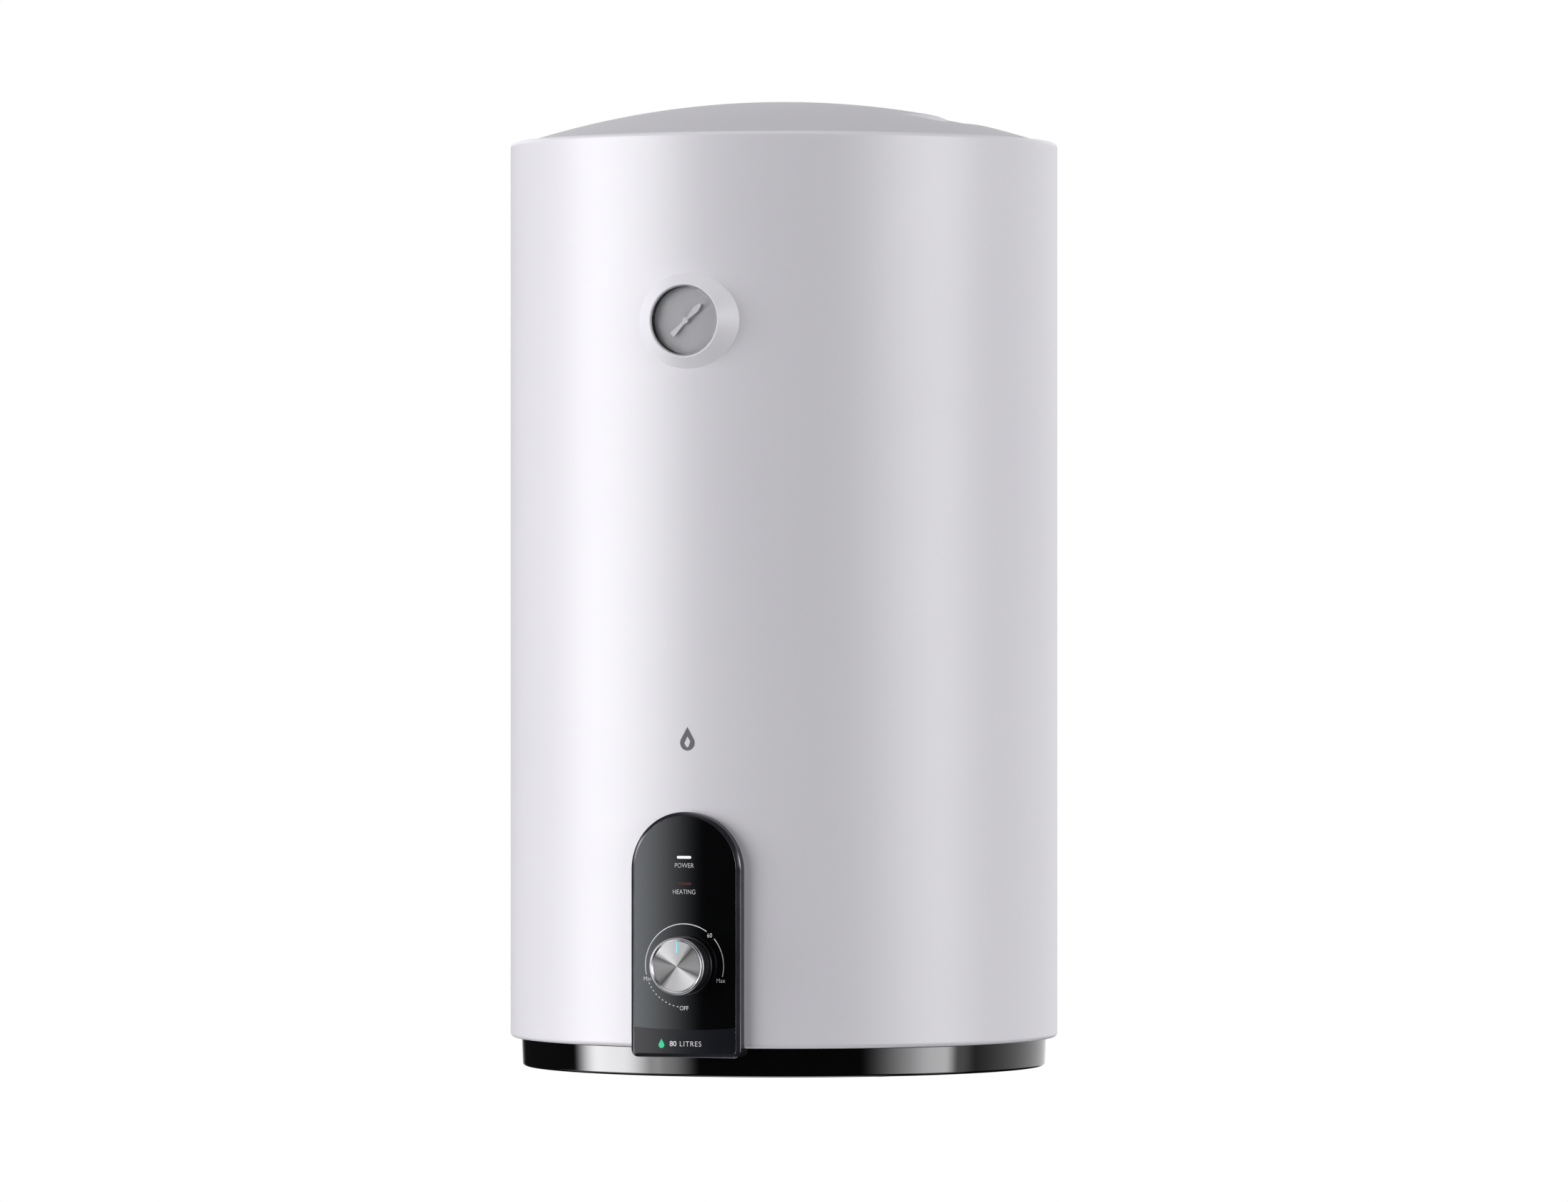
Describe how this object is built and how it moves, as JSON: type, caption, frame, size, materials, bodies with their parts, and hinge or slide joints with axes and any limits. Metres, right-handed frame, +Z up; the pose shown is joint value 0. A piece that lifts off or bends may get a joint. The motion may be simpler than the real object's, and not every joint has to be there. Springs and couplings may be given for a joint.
{
  "type": "wall-hung electric storage water heater",
  "caption": "Upright wall-hung electric storage water heater with round white casing, front thermometer, arched black control panel with a dial, and pipe stubs below",
  "frame": {"origin": "centre of the rectangle of wall slots in the two hanging brackets, on the wall plane", "axes": "+Z up along the tank, +Y into the wall, the control panel faces -Y, +X to the right seen from the front"},
  "size_m": [0.4499, 0.4895, 0.8047],
  "materials": {
    "white_enamel": "smooth satin white powder coat",
    "white_plastic": "satin white moulded plastic",
    "black_gloss": "high-gloss black moulded plastic",
    "bracket_steel": "bright zinc plate",
    "screw_steel": "bright zinc plate",
    "bolt_steel": "pale yellow zinc plate",
    "foam": null,
    "tank_steel": "blue-grey glass enamel on steel",
    "flange_steel": "bare zinc-plated steel",
    "gasket": "moulded silicone rubber",
    "copper": "drawn copper, lightly tarnished",
    "ceramic_bead": "unglazed steatite",
    "tab_brass": "tin-plated brass",
    "magnesium": "dull extruded magnesium",
    "pipe_steel": "bright zinc plate with cut threads",
    "diffuser_plastic": "natural moulded plastic",
    "blue_plastic": "blue moulded plastic",
    "red_plastic": "red moulded plastic",
    "terminal_plastic": "ivory moulded plastic",
    "cutout_plastic": "ivory phenolic moulding",
    "button_red": "red moulded plastic",
    "spring_steel": "bright spring wire",
    "gland_black": "black nylon",
    "wire_brown": "brown wire covering",
    "wire_blue": "blue wire covering",
    "wire_green_yellow": "green and yellow wire covering",
    "housing_black": "satin black moulded plastic",
    "bezel_gunmetal": "dark gunmetal lacquer",
    "panel_gloss": "high-gloss black",
    "trim_slate": "dark blue-grey gloss",
    "lens_clear": "clear frosted lens over a lit white lamp",
    "lens_red": "dark red tinted lens, unlit",
    "circuit_green": "green lacquered circuit board",
    "knob_black": "satin black moulded plastic",
    "knob_silver": "spun and diamond-cut bright aluminium",
    "spindle_brass": "turned brass",
    "thermostat_black": "black phenolic moulding",
    "gauge_white": "satin white moulded plastic",
    "gauge_clear": "clear flat window",
    "dial_grey": "plain satin grey",
    "needle_silver": "satin light grey",
    "gauge_tin": "tinned steel"
  },
  "bodies": {
    "heater": {"outer_jacket": "white_enamel", "top_cover": "white_plastic", "bottom_cover": "black_gloss", "bottom_cover_screws": "screw_steel", "insulation_foam": "foam", "upper_wall_bracket": "bracket_steel", "lower_wall_bracket": "bracket_steel", "bracket_bolts": "bolt_steel", "bracket_bosses": "flange_steel", "tank_shell": "tank_steel", "tank_top_head": "tank_steel", "tank_bottom_head": "tank_steel", "flange_collar": "flange_steel", "flange_studs": "bolt_steel", "flange_nuts": "bolt_steel", "flange_gasket": "gasket", "flange_plate": "flange_steel", "heating_element": "copper", "element_insulators": "ceramic_bead", "element_tabs": "tab_brass", "sensor_pocket": "copper", "magnesium_anode": "magnesium", "anode_nut": "bolt_steel", "cold_inlet_pipe": "pipe_steel", "inlet_diffuser": "diffuser_plastic", "hot_outlet_pipe": "pipe_steel", "cold_pipe_collar": "blue_plastic", "hot_pipe_collar": "red_plastic", "electrics_bracket": "bracket_steel", "terminal_block": "terminal_plastic", "terminal_screws": "tab_brass", "cutout_body": "cutout_plastic", "reset_spring": "spring_steel", "cutout_bulb": "copper", "earth_screw": "tab_brass", "cable_gland": "gland_black", "gland_nut": "gland_black", "live_wires": "wire_brown", "neutral_wires": "wire_blue", "earth_wire": "wire_green_yellow", "control_housing": "housing_black", "control_bezel": "bezel_gunmetal", "face_plate": "panel_gloss", "face_lower_trim": "trim_slate", "power_lamp_lens": "lens_clear", "heating_lamp_lens": "lens_red", "lamp_board": "circuit_green", "knob_collar": "knob_black", "thermostat_body": "thermostat_black", "thermostat_bulb": "copper", "thermostat_capillary": "copper", "gauge_bezel": "gauge_white", "gauge_lens": "gauge_clear", "gauge_dial": "dial_grey", "gauge_case": "gauge_tin"},
    "thermostat_knob": {"knob_body": "knob_black", "knob_cap": "knob_silver", "thermostat_spindle": "spindle_brass"},
    "thermometer_needle": {"gauge_needle": "needle_silver"},
    "reset_button": {"cutout_reset_button": "button_red"}
  },
  "joints": [
    {"name": "knob_turn", "type": "hinge", "parent": "heater", "child": "thermostat_knob", "pos_m": [0, -0.479, -0.3006], "axis": [0, -1, 0], "range_deg": [-110, 180]},
    {"name": "needle_swing", "type": "hinge", "parent": "heater", "child": "thermometer_needle", "pos_m": [0, -0.468, 0.2155], "axis": [0, -1, 0], "range_deg": [-90, 180], "stiffness_Nm_per_rad": 0.0005},
    {"name": "reset_button_press", "type": "slide", "parent": "heater", "child": "reset_button", "axis": [0, 0, 1], "range_m": [0, 0.002], "stiffness_N_per_m": 400, "springref_m": -0.002, "deforming": ["reset_spring"]}
  ]
}
